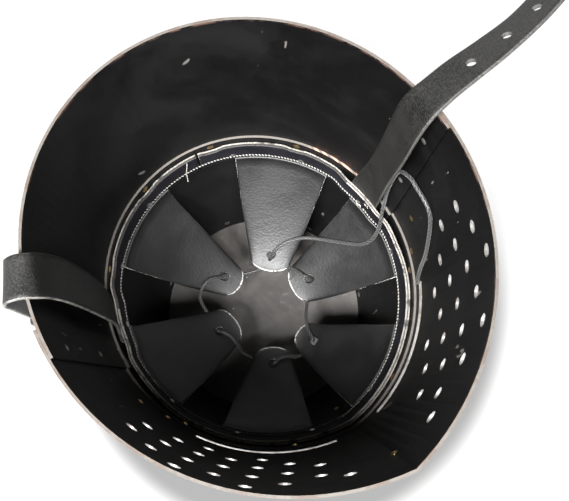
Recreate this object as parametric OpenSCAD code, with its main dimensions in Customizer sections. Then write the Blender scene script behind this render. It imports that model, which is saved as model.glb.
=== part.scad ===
// Great helm with a brass face cross, a riveted leather liner and a buckled chin strap.
// It stands on its flat crown with the opening up. Millimetres.
// The origin is the middle of the crown's outer face, +Z runs from the crown to the open rim,
// and the keel of the face looks along -Y. Angles are degrees from the keel towards +X.

/* [Plates] */
// Thickness of the steel sheet
sheet_t = 1.6; // [1.2:0.1:2]
// Gap between two lapped sheets
lap_gap = 0.1; // [0.05:0.05:0.2]
// Angle from the keel to the rivets of the seam on the right
seam_right = 88.4; // [84:0.2:92]
// Angle from the keel to the rivets of the seam on the left
seam_left = 95.8; // [92:0.2:100]
// Angle that each sheet laps past a seam's rivets
seam_lap = 4.2; // [3.4:0.2:5]

/* [Crown] */
// Radius of the crown plate inside its turned-down edge
crown_r = 79.2; // [76:0.2:82]
// Height of the crown plate's turned-down edge
crown_edge = 14; // [12:0.5:16]
// Rivets round the crown plate's edge
crown_rivets = 14; // [10:1:18]

/* [Brow] */
// Half width of the helm at the brow, inside the outer sheet
brow_half_w = 106; // [103:0.5:109]
// Reach of the brow from the axis to the keel
brow_front = 116; // [112:0.5:120]
// Reach of the brow from the axis to the back
brow_back = 110; // [106:0.5:114]
// Height of the upper plates' rim-side edge over the crown
brow_z = 134; // [130:1:138]
// Overlap of the skirt plates on the upper plates
brow_lap = 16; // [14:1:18]

/* [Rim] */
// Half width of the open rim, inside the outer sheet
rim_half_w = 119.5; // [116:0.5:123]
// Reach of the rim from the axis to the keel
rim_front = 143; // [139:0.5:147]
// Reach of the rim from the axis to the back
rim_back = 128; // [124:0.5:132]
// Height of the rim over the crown at the sides
rim_z = 300; // [290:1:310]
// Slope of the rim, higher at the keel than at the back
rim_tilt = 6; // [4:0.5:8]

/* [Sights and breath holes] */
// Angle from the keel to the inner end of a sight
sight_from = 8; // [7.5:0.5:10]
// Angle from the keel to the outer end of a sight
sight_to = 56; // [50:1:60]
// Height of the middle of the sights
sight_z = 146; // [144:0.5:149]
// Height of a sight's slot
sight_h = 8; // [6:0.5:9]
// Diameter of a breath hole
breath_d = 7.5; // [5:0.5:9]
// Angle of the first column of breath holes
breath_first = 17; // [16:0.5:19]
// Angle between two columns of breath holes
breath_step = 8.4; // [7.6:0.2:8.8]
// Height of the middle row of breath holes
breath_z = 239.5; // [230:0.5:245]
// Height between two rows of breath holes
breath_rise = 18.5; // [14:0.5:19]
// Lean of the breath hole columns for each row
breath_lean = 0.5; // [0:0.1:0.8]

/* [Face cross] */
// Thickness of the brass cross
cross_t = 1.4; // [1:0.1:2]
// Half width of the cross's upright
cross_half_w = 12; // [10:0.5:13]
// Height of the upright's crown-side end
cross_low = 38; // [30:1:60]
// Height of the upright's rim-side end
cross_top = 304; // [296:1:306]
// Half width of the upright's flared ends
cross_flare = 20; // [16:0.5:24]
// Height of the middle of the arms
arm_z = 148; // [147:0.5:150]
// Half width of an arm beside the sights
arm_half_h = 14; // [13:0.5:14.5]
// Angle at which an arm begins to flare
arm_flare_from = 64; // [62:1:68]
// Angle of an arm's outer end
arm_to = 80; // [78:1:82]
// Half width of an arm's flared end
arm_flare = 26; // [24:0.5:28]
// Margin of the cross round each sight
sight_margin = 1; // [0.5:0.25:2]

/* [Rivets] */
// Diameter of a rivet's shank
rivet_d = 3; // [2.4:0.1:3.4]
// Radius of a rivet's domed outer head
rivet_head_r = 2.8; // [2.4:0.1:3]
// Height of a rivet's domed outer head
rivet_head_h = 1.2; // [0.8:0.1:1.6]
// Radius of a rivet's peened inner end
rivet_peen_r = 2.3; // [2:0.1:2.6]
// Height of a rivet's peened inner end
rivet_peen_h = 0.8; // [0.6:0.1:1.2]
// Clearance of a shank in its hole, all round
rivet_clear = 0.05; // [0.03:0.01:0.08]

/* [Liner] */
// Thickness of the liner band, two layers stitched together
band_t = 3; // [2.4:0.2:3.6]
// Height of the band's crown-side edge
band_low = 108; // [104:1:110]
// Height of the band's rim-side edge
band_high = 125.5; // [124:0.5:126.5]
// Angle at which the band's two ends meet
band_join = 171; // [169:0.5:173]
// Thickness of a liner petal
petal_t = 2; // [1.6:0.2:2.4]
// Height of the petals' tips over the crown's outer face
petal_tip_z = 52; // [44:1:60]
// Diameter of a petal's lace hole
lace_hole_d = 6; // [5.5:0.5:6.5]
// Diameter of the lace
lace_d = 2.6; // [2:0.2:3]

/* [Chin straps] */
// Width of both chin straps
strap_w = 25; // [22:0.5:26]
// Thickness of both chin straps
strap_t = 2.2; // [1.8:0.1:2.4]
// Angle of the long strap's root
long_root = 97.6; // [96:0.4:100]
// Angle of the short strap's root
short_root = -109.5; // [-111:0.5:-108]
// Diameter of the long strap's holes
strap_hole_d = 5; // [3:0.5:5.5]
// Distance between two strap holes
strap_hole_pitch = 26; // [20:0.5:26.5]
// Number of strap holes
strap_holes = 4; // [3:1:4]
// Length of the flap from its fold at the rim to the buckle's bar
flap_len = 64; // [56:1:70]

/* [Buckle] */
// Radius of the buckle's wire
wire_r = 1.5; // [1.2:0.1:1.8]
// Running clearance round the buckle's bar
bar_clear = 0.1; // [0.06:0.01:0.1]
// Length of the buckle frame, from bar to bar
buckle_len = 18; // [16:0.5:20]
// Radius of the buckle's corners, to the middle of the wire
buckle_corner = 2; // [1.8:0.1:2.1]
// Radius of the prong's wire
prong_r = 1; // [0.8:0.1:1.1]

/* [Hidden] */
$fn = 32;

// Layers of the wall, as distances from the inside of the outer sheet
layer = sheet_t + lap_gap;
lap_z = brow_z - brow_lap;
upper_z = sheet_t + lap_gap;
grid_step = 3;
far_r = 190;

// Rivets
head_seat = 0.03;
peen_seat = 0.12;
peen_room = 0.3;
hole_reach = [1, 2, 3, 2, 3, 2, 1];
keel_hole_deg = 11.3;
keel_hole_z = 272;
crown_rivet_z = 8;
crown_rivet_first = 13.6;
brow_rivet_z = 129;
brow_rivet_at = [-165, -131, -62, -21.5, 21.5, 62, 131, 165];
seam_skirt_z = [191, 262];
seam_upper_z = [40, 86];
cross_rivet_at = [[0, 262], [0, 72], [77, 166], [68, 139], [-77, 166], [-68, 139]];
keel_seat = 0.4;
liner_rivet_z = 112.5;
liner_rivet_at = [-162, -134, short_root, -72, -43, -14, 14, 43, 72, long_root, 128, 157];

// Liner: inset of the band's outside from the wall, and the swelling over each strap root
band_inset = 2 * layer + 0.4;
root_inset = 2 * layer + 0.2 + strap_t / 2;
swell = strap_t + 0.1;
swell_flat = 8;
swell_end = 16;
band_end_gap = 0.5;
lean_share = 0.9;
lean_mid = -5;
lean_flat = 64;
lean_end = 78;
petal_seat = 0.15;
petal_rise = 5;
petal_curve = 1.5;
petal_tip_round = 7;
petal_cols = 10;
petal_rows = [0, 0.04, 0.12, 0.25, 0.42, 0.62, 0.82, 1];

// Petals: angle of the middle, angle that the root covers, reach in plan from the root to the tip,
// half width and sideways lean of the tip, distance from the tip to the lace hole, lift of the tip
petals = [[136, 40.5, 72, 14, -1.5, 12, 3], [81.5, 40.5, 69, 14, 0, 15, -1.5],
    [22.8, 37.5, 64, 10.5, -4, 15, 0], [-31, 36.5, 64, 13, 6, 13, 0],
    [-88.5, 40.5, 71, 14, 0, 15, 0], [-153.2, 38, 77, 11, -3.5, 14, 0]];

// Straps inside the helm: angle, height, inset from the wall, twist
long_inside = [[long_root, band_low - 1.5, root_inset, 0], [long_root, 122, root_inset, 0],
    [96.8, 139, 7, -6], [95.3, 171, 8.5, -20], [93.9, 214, 11.5, -24], [93, 255, 12.6, -20],
    [93, 288, 11.5, -20]];
// Straps over the rim: angle, distance out from the rim's inside, distance above it, twist
long_over = [[92.9, -5, 6, -30], [93.1, 5, 10.2, -35], [93.3, 20, 10.4, -36], [93.4, 41.5, 8.5, -41],
    [94, 68, 4.5, -48], [95.3, 96, -1.6, -51], [96, 118, -7.7, -52]];
long_hinge = len(long_inside) + 1;
// Slope of the wall that the flap hangs beside
flap_lean = (rim_r(short_root) - brow_r(short_root)) / (rim_h(short_root) - brow_z);
short_inside = [[short_root, band_low - 1.5, root_inset, 0], [short_root, 122, root_inset, 0],
    [-112, 138, 7.5, 4], [-113.3, 158, 10.3, 8], [-113.6, 190, 13.3, 3], [-114, 230, 14.1, 0],
    [-114.1, 266, 13.3, 0], [-113.6, 290, 10.8, 5]];
short_over = [[-113, -7.1, 6.5, 8], [-113.2, -1, 9, 11], [-113.1, 6, 5.6, 11],
    [-113.1, 9.3 - 6 * flap_lean, -6, 6], [-112.6, 5.6 - 28 * flap_lean, -28, 3]];
short_hinge = len(short_inside) + 3;
strap_cols = [-1, -0.5, 0, 0.5, 1];
strap_steps = 4;
hinge_gap = 0.3;
hinge_r = strap_t / 2 - 0.05;
hinge_straight = 3;
tip_len = 13;
first_hole = 21.5;

// Buckle, seen along the flap: x across it, y away from the helm, z down it
bar_in = wire_r + bar_clear;
fold_r = bar_in + strap_t;
bar_y = -(bar_in + strap_t / 2);
fold_straight = 1;
buckle_half_w = strap_w / 2 + 0.6 + wire_r;
slot_w = 2 * prong_r + 3;
slot_up = 6.8;
return_len = 27;
return_slope = 8;
return_y = -(strap_t + 0.1);
flap_rivet_up = 22;
keeper_t = 1.6;
keeper_w = 8;
keeper_up = 8.5;
keeper_gap = 0.3;
prong_ring_t = 1.1;
prong_rest = 0.06;

// Lace through the petals: places chosen along its way
lace_rings = 78;
// from its tail end up the wall, round behind the long strap and down over the band
lace_wall = [[87.5, -61, 144.5], [92.5, -55, 157], [97.5, -49, 183], [105.5, -34.5, 211.5], [108, -14.5, 215.5],
    [108.5, -6.5, 212.5], [107.5, 0, 202], [104.5, 0, 165.5], [102, -3.5, 137], [99.5, -6, 130.5], [97, -9, 127.2]];
// down the right petal, across to the back right petal and through its hole
lace_right = [[94.8, -11.3, 122.5], [93.2, -12.6, 115], [91, -13.5, 108.8], [86.7, -14, 103.4],
    [80.6, -11, 96], [73.5, -3.2, 89], [62.5, 10.5, 77.5],
    [53, 19.5, 72.5], [43.5, 24.5, 68.5], [35, 26, 66], [28.5, 25.5, 62.5], [26, 25, 59], [26.5, 22.5, 55]];
// over the right petal's point and through its hole, then the front right petal's
lace_front = [[29, 17.5, 53.5], [33, 11.5, 51.5], [36, 3, 57.5], [37.5, -2, 59.5], [38.5, -3.5, 59.5],
    [39.5, -6, 56.5], [39, -8, 53.5], [36, -14, 50.5], [29, -20, 48], [22, -28, 53.5], [17.5, -37.5, 56.5],
    [16.5, -44, 60], [15.5, -45.5, 61.5], [16, -48, 58.5], [13.5, -48, 55]];
// front left petal and left petal
lace_left = [[7.5, -50.5, 53], [0.5, -50, 51], [-6.5, -46, 56.5], [-13, -43.5, 59], [-17, -44.5, 60],
    [-19.5, -44, 57.5], [-21, -42.5, 54.5], [-29, -32, 49.5], [-33, -23.5, 50.5], [-33, -15.5, 57],
    [-34.5, -7.5, 60], [-37.5, -3, 60.5], [-38.5, -1, 57.5], [-39, 1, 54.5], [-38, 10, 51.5]];
// back left petal, and the end under the back right one
lace_back = [[-38.5, 20, 54.5], [-36.5, 28.5, 60], [-29.5, 33.5, 64.5], [-22, 34.5, 64], [-14.5, 32, 60],
    [-12, 32, 56.5], [-9.5, 31, 52.5], [-6, 30, 50.5], [1, 26.5, 49.5], [10.5, 23, 50], [20, 20.5, 50.5]];
lace_points = concat(lace_wall, lace_right, lace_front, lace_left, lace_back);

function at(a, r, z) = [r * sin(a), -r * cos(a), z];
function unit(v) = v / norm(v);
function wrap(a) = (a + 540) % 360 - 180;
function xyz(p) = [p[0], p[1], p[2]];

// Outline of the helm at one height: two arcs that meet at the keel, and a half ellipse at the back
function outline(a, half_w, front, back) =
    let (s = abs(sin(a)), c = cos(a), mid = (half_w ^ 2 - front ^ 2) / (2 * half_w))
    c >= 0 ? s * mid + sqrt((s * mid) ^ 2 + front ^ 2) : 1 / sqrt((s / half_w) ^ 2 + (c / back) ^ 2);
function brow_r(a) = outline(a, brow_half_w, brow_front, brow_back);
function rim_r(a) = outline(a, rim_half_w, rim_front, rim_back);
function rim_h(a) = rim_z + tan(rim_tilt) * rim_r(a) * cos(a);
function skirt_r(a, z) = brow_r(a) + (rim_r(a) - brow_r(a)) * (z - brow_z) / (rim_h(a) - brow_z);
function wall_r(a, z) = z >= lap_z ? skirt_r(a, z) : crown_r + (skirt_r(a, lap_z) - crown_r) * z / lap_z;
function wall(a, z, out = 0) = at(a, wall_r(a, z) + out, z);
function wall_normal(a, z) = unit(cross(wall(a + 0.5, z) - wall(a - 0.5, z), wall(a, z + 0.5) - wall(a, z - 0.5)));

// Which sheets lie at an angle, and the faces of the wall there
function has_front(a) = wrap(a) > -seam_left - seam_lap && wrap(a) < seam_right + seam_lap;
function has_back(a) = wrap(a) < -seam_left + seam_lap || wrap(a) > seam_right - seam_lap;
function skirt_outside(a) = has_front(a) ? sheet_t : -lap_gap;
function upper_outside(a) = has_front(a) ? -lap_gap : -lap_gap - layer;
function upper_inside(a) = has_back(a) ? -2 * layer : -layer;
function crown_inside(a) = has_front(a - grid_step) || has_front(a + grid_step) ? 0 : -layer;

// Angles from a0 to a1 that keep to the common grid
function grid(a0, a1) = concat([a0],
    [for (k = [floor(a0 / grid_step) : ceil(a1 / grid_step)])
        if (k * grid_step > a0 + 0.4 && k * grid_step < a1 - 0.4) k * grid_step], [a1]);
function quad(a, b, c, d) = [[a, c, b], [a, d, c]];

// Closed solid between two grids of points, rows by columns; columns x rows points outwards
module skin(outer, inner) {
    rows = len(outer);
    cols = len(outer[0]);
    r = rows - 1;
    c = cols - 1;
    function o(i, j) = i * cols + j;
    function n(i, j) = rows * cols + i * cols + j;
    polyhedron(concat([for (row = outer) each row], [for (row = inner) each row]), concat(
        [for (i = [0 : r - 1], j = [0 : c - 1]) each quad(o(i, j), o(i, j + 1), o(i + 1, j + 1), o(i + 1, j))],
        [for (i = [0 : r - 1], j = [0 : c - 1]) each quad(n(i, j), n(i + 1, j), n(i + 1, j + 1), n(i, j + 1))],
        [for (j = [0 : c - 1]) each quad(n(0, j), n(0, j + 1), o(0, j + 1), o(0, j))],
        [for (j = [0 : c - 1]) each quad(o(r, j), o(r, j + 1), n(r, j + 1), n(r, j))],
        [for (i = [0 : r - 1]) each quad(o(i, 0), o(i + 1, 0), n(i + 1, 0), n(i, 0))],
        [for (i = [0 : r - 1]) each quad(n(i, c), n(i + 1, c), o(i + 1, c), o(i, c))]));
}

// Leather of one thickness about a grid of middle points
function mid_normal(m, i, j) = unit(cross(
    m[i][min(j + 1, len(m[0]) - 1)] - m[i][max(j - 1, 0)], m[min(i + 1, len(m) - 1)][j] - m[max(i - 1, 0)][j]));
function shifted(m, d) = [for (i = [0 : len(m) - 1]) [for (j = [0 : len(m[0]) - 1]) m[i][j] + d * mid_normal(m, i, j)]];
module leather(mid, t) {
    skin(shifted(mid, t / 2), shifted(mid, -t / 2));
}

// Wall sheet between two angles, with its outside at a distance from the wall's reference face
module sheet(a0, a1, heights, out) {
    cols = grid(a0, a1);
    skin([for (z = heights) [for (a = cols) wall(a, z, out)]],
        [for (z = heights) [for (a = cols) wall(a, z, out - sheet_t)]]);
}
module skirt_sheet(a0, a1, out) {
    cols = grid(a0, a1);
    skin([[for (a = cols) wall(a, lap_z, out)], [for (a = cols) wall(a, rim_h(a), out)]],
        [[for (a = cols) wall(a, lap_z, out - sheet_t)], [for (a = cols) wall(a, rim_h(a), out - sheet_t)]]);
}

// Solid wedge about the vertical axis, between two angles and two heights
module wedge(a0, a1, z0, z1) {
    parts = 8;
    near = [at(a0, far_r / 4, 0), at(a1, far_r / 4, 0)];
    rim = [for (i = [0 : parts]) at(a0 + (a1 - a0) * i / parts, far_r, 0)];
    translate([0, 0, z0]) linear_extrude(z1 - z0)
        polygon([for (p = concat([near[0]], rim, [near[1]])) [p[0], p[1]]]);
}

// Frame on the wall: its own z points straight out of the wall
module on_wall(a, z) {
    n = wall_normal(a, z);
    translate(wall(a, z)) rotate([0, acos(n[2]), atan2(n[1], n[0])]) children();
}
function across_wall(a, z, out) = out * (wall_normal(a, z) * at(a, 1, 0));

module dome(r, h) {
    ball = (r ^ 2 + h ^ 2) / (2 * h);
    intersection() {
        translate([0, 0, h - ball]) sphere(ball);
        cylinder(r = r + 1, h = h + 1);
    }
}
// Rivet from the wall's inside face to its outside face, each a distance from the reference face
module rivet(a, z, inside, outside) {
    low = across_wall(a, z, inside) - peen_seat;
    high = across_wall(a, z, outside) + head_seat;
    on_wall(a, z) {
        translate([0, 0, low - rivet_peen_h / 2]) cylinder(d = rivet_d, h = high - low + (rivet_peen_h + rivet_head_h) / 2);
        translate([0, 0, high]) dome(rivet_head_r, rivet_head_h);
        translate([0, 0, low]) mirror([0, 0, 1]) dome(rivet_peen_r, rivet_peen_h);
    }
}
module rivet_hole(a, z) {
    on_wall(a, z) cylinder(r = rivet_d / 2 + rivet_clear, h = 30, center = true);
}
module brow_holes() {
    for (a = brow_rivet_at) rivet_hole(a, brow_rivet_z);
}
module seam_holes(heights) {
    for (a = [seam_right, -seam_left], z = heights) rivet_hole(a, z);
}
module crown_holes() {
    for (a = crown_rivet_at) rivet_hole(a, crown_rivet_z);
}
crown_rivet_at = [for (i = [0 : crown_rivets - 1]) wrap(crown_rivet_first + i * 360 / crown_rivets)];

// Face plate: sights and breath holes
module sights(margin = 0) {
    grow = margin / brow_front * 180 / PI;
    for (side = [-1, 1])
        wedge(side * (sight_from - grow), side * (sight_to + grow),
            sight_z - sight_h / 2 - margin, sight_z + sight_h / 2 + margin);
}
module breath_holes() {
    for (side = [-1, 1]) {
        for (col = [0 : len(hole_reach) - 1], k = [-hole_reach[col] : 2 : hole_reach[col]])
            on_wall(side * (breath_first + breath_step * col + breath_lean * k), breath_z + breath_rise * k)
                cylinder(d = breath_d, h = 16, center = true);
        on_wall(side * keel_hole_deg, keel_hole_z) cylinder(d = breath_d, h = 16, center = true);
    }
}
module skirt_front() {
    color("dimgray") difference() {
        skirt_sheet(-seam_left - seam_lap, seam_right + seam_lap, sheet_t);
        sights();
        breath_holes();
        brow_holes();
        seam_holes(seam_skirt_z);
        for (p = cross_rivet_at) rivet_hole(p[0], p[1]);
    }
}
module skirt_back() {
    color("dimgray") difference() {
        skirt_sheet(seam_right - seam_lap, 360 - seam_left + seam_lap, -lap_gap);
        // Notches that clear the upper front plate below the brow
        wedge(seam_right - 2 * seam_lap, seam_right + seam_lap + 0.5, lap_z - 1, brow_z + 0.5);
        wedge(-seam_left + 2 * seam_lap, -seam_left - seam_lap - 0.5, lap_z - 1, brow_z + 0.5);
        brow_holes();
        seam_holes(seam_skirt_z);
    }
}
module upper_front() {
    color("dimgray") difference() {
        sheet(-seam_left - seam_lap + 0.8, seam_right + seam_lap - 0.8, [upper_z, lap_z, brow_z], -lap_gap);
        brow_holes();
        seam_holes(seam_upper_z);
        crown_holes();
        liner_holes();
        for (p = cross_rivet_at) if (p[1] < brow_z) rivet_hole(p[0], p[1]);
    }
}
module upper_back() {
    color("dimgray") difference() {
        sheet(seam_right - seam_lap, 360 - seam_left + seam_lap, [upper_z, lap_z, brow_z], -lap_gap - layer);
        brow_holes();
        seam_holes(seam_upper_z);
        crown_holes();
        liner_holes();
    }
}

// Crown plate: a flat disc with its edge turned down over the upper plates, as rings from its
// outer face round the edge to its inner face
module crown_block(rings) {
    cols = [for (a = [0 : grid_step : 359]) a];
    n = len(cols);
    pts = [for (r = rings) each [for (a = cols) at(a, wall_r(a, r[0]) + crown_inside(a) + r[1], r[0])]];
    top = (len(rings) - 1) * n;
    polyhedron(pts, concat(
        [for (i = [0 : len(rings) - 2], j = [0 : n - 1])
            each quad(i * n + j, i * n + (j + 1) % n, (i + 1) * n + (j + 1) % n, (i + 1) * n + j)],
        [[for (j = [0 : n - 1]) j]], [[for (j = [n - 1 : -1 : 0]) top + j]]));
}
module crown_plate() {
    color("gray") difference() {
        crown_block([[0, sheet_t - 2], [0.6, sheet_t - 0.6], [2, sheet_t], [crown_edge, sheet_t],
            [crown_edge, 0], [sheet_t, 0]]);
        crown_holes();
    }
}

// Face cross: one brass sheet over the keel, stepped where the skirt's edge lies under it
module cross_layer() {
    cols = grid(-arm_to - grid_step, arm_to + grid_step);
    rows = [[cross_low, 0], [lap_z - 7, 0], [lap_z - 1.5, layer], [lap_z, layer]];
    function face(out) = concat([for (r = rows) [for (a = cols) wall(a, r[0], r[1] + out)]],
        [[for (a = cols) wall(a, rim_h(a), layer + out)]]);
    skin(face(cross_t), face(0));
}
module cross_upright() {
    flare = 22;
    rotate([90, 0, 0]) linear_extrude(far_r)
        polygon([[cross_flare, cross_low - 1], [cross_half_w + 2, cross_low + flare / 2],
            [cross_half_w, cross_low + flare], [cross_half_w, cross_top - flare],
            [cross_half_w + 2, cross_top - flare / 2], [cross_flare, cross_top],
            [-cross_flare, cross_top], [-cross_half_w - 2, cross_top - flare / 2],
            [-cross_half_w, cross_top - flare], [-cross_half_w, cross_low + flare],
            [-cross_half_w - 2, cross_low + flare / 2], [-cross_flare, cross_low - 1]]);
}
module cross_arm_end() {
    near_y = wall(arm_flare_from - 1, arm_z)[1];
    mid_y = wall((arm_flare_from + arm_to) / 2, arm_z)[1];
    far_y = wall(arm_to, arm_z)[1];
    mid_half = arm_half_h + (arm_flare - arm_half_h) * 0.35;
    translate([far_r / 4, 0, arm_z]) rotate([90, 0, 90]) linear_extrude(far_r)
        polygon([[near_y, -arm_half_h], [mid_y, -mid_half], [far_y, -arm_flare],
            [far_y, arm_flare], [mid_y, mid_half], [near_y, arm_half_h]]);
}
module face_cross() {
    color("goldenrod") difference() {
        intersection() {
            cross_layer();
            union() {
                cross_upright();
                wedge(-arm_flare_from, arm_flare_from, arm_z - arm_half_h, arm_z + arm_half_h);
                cross_arm_end();
                mirror([1, 0, 0]) cross_arm_end();
            }
        }
        sights(sight_margin);
        for (p = cross_rivet_at) rivet_hole(p[0], p[1]);
    }
}

// Rivets, grouped by what they join
module cross_rivets() {
    color("gold") for (p = cross_rivet_at)
        rivet(p[0], p[1], (p[1] < lap_z ? -layer : 0) - (p[0] == 0 ? keel_seat : 0),
            p[1] < lap_z ? cross_t : layer + cross_t);
}
module seam_rivets(a) {
    color("silver") {
        for (z = seam_skirt_z) rivet(a, z, -layer, sheet_t);
        for (z = seam_upper_z) rivet(a, z, -2 * layer, -lap_gap);
    }
}
module seam_rivets_right() {
    seam_rivets(seam_right);
}
module seam_rivets_left() {
    seam_rivets(-seam_left);
}
module brow_rivets() {
    color("gold") for (a = brow_rivet_at) rivet(a, brow_rivet_z, upper_inside(a), skirt_outside(a));
}
module crown_rivets_ring() {
    color("silver") for (a = crown_rivet_at)
        rivet(a, crown_rivet_z, upper_inside(a), crown_inside(a) + sheet_t);
}

// Liner band: an open ring that swells over the two strap roots
function swelling(a) = swell * max([for (root = [long_root, short_root])
    let (f = min(1, max(0, (swell_end - abs(wrap(a - root))) / (swell_end - swell_flat)))) f * f * (3 - 2 * f)]);
function band_outside(a) = -band_inset - swelling(a);
// Outward lean of the band's upper edge where only one upper plate lies behind it
function band_lean(a) = layer * lean_share * min(1, max(0, (lean_end - abs(wrap(a - lean_mid))) / (lean_end - lean_flat)));
module liner_holes() {
    for (a = liner_rivet_at) rivet_hole(a, liner_rivet_z);
}
module liner_band() {
    cols = grid(band_join + band_end_gap, band_join + 360 - band_end_gap);
    rows = [[band_low, 0], [lap_z - 3, 0], [lap_z, 0.3], [band_high, 1]];
    color("midnightblue") difference() {
        skin([for (r = rows) [for (a = cols) wall(a, r[0], band_outside(a) + r[1] * band_lean(a))]],
            [for (r = rows) [for (a = cols) wall(a, r[0], band_outside(a) + r[1] * band_lean(a) - band_t)]]);
        liner_holes();
    }
}
module liner_rivets() {
    color("silver") for (a = liner_rivet_at)
        rivet(a, liner_rivet_z, band_outside(a) - band_t, upper_outside(a));
}

// Liner petals: a root turned up against the band, a falling curve and a rounded tip
function petal_root(a, z) = wall(a, z, band_outside(a) - band_t - petal_seat - petal_t / 2);
function petal_axis(p, d) =
    let (root = petal_root(p[0], band_low), tip = norm([root[0], root[1]]) - p[2])
    at(p[0], tip + d, 0) + [cos(p[0]), sin(p[0]), 0] * p[4];
function petal_point(p, x, f) =
    let (end = petal_axis(p, petal_tip_round * (1 - sqrt(1 - min(1, x ^ 2)))) + [cos(p[0]), sin(p[0]), 0] * p[3] * x,
        root = petal_root(p[0] + x * p[1] / 2, band_low))
    [end[0] + (root[0] - end[0]) * f, end[1] + (root[1] - end[1]) * f,
        petal_tip_z + p[6] + (band_low - petal_tip_z - p[6]) * f ^ petal_curve];
function petal_mid(p) = concat(
    [for (f = petal_rows) [for (j = [0 : petal_cols]) petal_point(p, 2 * j / petal_cols - 1, f)]],
    [[for (j = [0 : petal_cols]) petal_root(p[0] + (j / petal_cols - 0.5) * p[1], band_low + petal_rise)]]);
module petal(i) {
    p = petals[i];
    color("black") difference() {
        leather(petal_mid(p), petal_t);
        translate(petal_axis(p, p[5]) + [0, 0, petal_tip_z - 6]) cylinder(d = lace_hole_d, h = 20);
        for (a = liner_rivet_at) on_wall(a, liner_rivet_z) cylinder(r = rivet_peen_r + peen_room, h = 30, center = true);
    }
}
module petal_back_right() {
    petal(0);
}
module petal_right() {
    petal(1);
}
module petal_front_right() {
    petal(2);
}
module petal_front_left() {
    petal(3);
}
module petal_left() {
    petal(4);
}
module petal_back_left() {
    petal(5);
}

// Smooth curve through knots, which may hold more values than three
function spline(k, u) =
    let (i = max(0, min(floor(u), len(k) - 2)), f = u - i, p0 = k[max(i - 1, 0)], p1 = k[i], p2 = k[i + 1],
        p3 = k[min(i + 2, len(k) - 1)])
    (2 * p1 + (p2 - p0) * f + (2 * p0 - 5 * p1 + 4 * p2 - p3) * f ^ 2 + (3 * p1 - p0 - 3 * p2 + p3) * f ^ 3) / 2;

// Lace: a round cord of eight sides along its points
module cord(points, d, step) {
    sides = 8;
    n = round((len(points) - 1) * step);
    mids = [for (i = [0 : n]) spline(points, i * (len(points) - 1) / n)];
    ring = [for (i = [0 : n])
        let (way = unit(mids[min(i + 1, n)] - mids[max(i - 1, 0)]), u = unit(cross(way, [0.3, 0.1, 1])), v = cross(way, u))
        each [for (s = [0 : sides - 1]) mids[i] + d / 2 * (u * cos(360 * s / sides) + v * sin(360 * s / sides))]];
    polyhedron(ring, concat(
        [for (i = [0 : n - 1], s = [0 : sides - 1])
            each quad(i * sides + s, i * sides + (s + 1) % sides, (i + 1) * sides + (s + 1) % sides, (i + 1) * sides + s)],
        [[for (s = [0 : sides - 1]) s]], [[for (s = [sides - 1 : -1 : 0]) n * sides + s]]));
}
module liner_lace() {
    color("black") cord(lace_points, lace_d, lace_rings / (len(lace_points) - 1));
}

// Straps: knots with their twist, the frame at a place along them, and rows of middle points
function inside_knot(s) = concat(wall(s[0], s[1], -s[2]), [s[3]]);
function over_knot(s) = concat(at(s[0], rim_r(s[0]) + s[1], rim_h(s[0]) + s[2]), [s[3]]);
long_knots = concat([for (s = long_inside) inside_knot(s)], [for (s = long_over) over_knot(s)]);
short_knots = concat([for (s = short_inside) inside_knot(s)], [for (s = short_over) over_knot(s)]);
function strap_frame(k, u) =
    let (p = spline(k, u), t = unit(xyz(spline(k, u + 0.05)) - xyz(spline(k, u - 0.05))), a = atan2(p[0], -p[1]),
        e = [cos(a), sin(a), 0], flat = unit(e - t * (e * t)), n = cross(t, flat),
        w = flat * cos(p[3]) + n * sin(p[3]))
    [xyz(p), t, w, cross(t, w)];
function strap_row(f, along, half, hug) =
    [for (x = strap_cols) f[0] + f[1] * along + f[2] * x * half + f[3] * hug * (x * half) ^ 2 / (2 * brow_half_w)];
function strap_rows(k, u0, u1) = [for (i = [0 : strap_steps * (u1 - u0)])
    let (u = u0 + i / strap_steps) strap_row(strap_frame(k, u), 0, strap_w / 2, max(0, min(1, 2 - u)))];
function strap_root_rows(k, hinge) =
    let (f = strap_frame(k, hinge), end = strap_t / 2 + hinge_gap)
    concat(strap_rows(k, 0, hinge - 1 / strap_steps),
        [strap_row(f, -end - hinge_straight / 2, strap_w / 2, 0), strap_row(f, -end, strap_w / 2, 0)]);
module in_frame(f) {
    multmatrix([for (i = [0 : 2]) [f[2][i], f[3][i], f[1][i], f[0][i]]]) children();
}
// Rounded start of a moving piece, about its hinge
module hinge_round(f) {
    in_frame(f) rotate([0, 90, 0]) cylinder(r = hinge_r, h = strap_w - 0.1, center = true);
}

module long_strap_root() {
    color("black") difference() {
        leather(strap_root_rows(long_knots, long_hinge), strap_t);
        rivet_hole(long_root, liner_rivet_z);
    }
}
module long_strap_tail() {
    f = strap_frame(long_knots, long_hinge);
    last = len(long_knots) - 1;
    tip = strap_frame(long_knots, last);
    rows = concat([strap_row(f, 0, strap_w / 2, 0), strap_row(f, hinge_straight, strap_w / 2, 0)],
        strap_rows(long_knots, long_hinge + 1 / strap_steps, last),
        [for (s = [0.35, 0.65, 0.85, 0.96, 1]) strap_row(tip, s * tip_len, strap_w / 2 * sqrt(1.02 - s * s), 0)]);
    color("black") difference() {
        union() {
            leather(rows, strap_t);
            hinge_round(f);
        }
        for (i = [0 : strap_holes - 1])
            in_frame(strap_frame(long_knots, place_at(long_knots, long_hinge, first_hole + i * strap_hole_pitch)))
                rotate([90, 0, 0]) cylinder(d = strap_hole_d, h = 8, center = true);
    }
}
// Place along the knots at a distance from a place
function place_at(k, u, d) = d <= 0 || u >= len(k) - 1 ? u
    : let (du = 0.02, step = norm(xyz(spline(k, u + du)) - xyz(spline(k, u)))) place_at(k, u + du, d - step);

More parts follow.
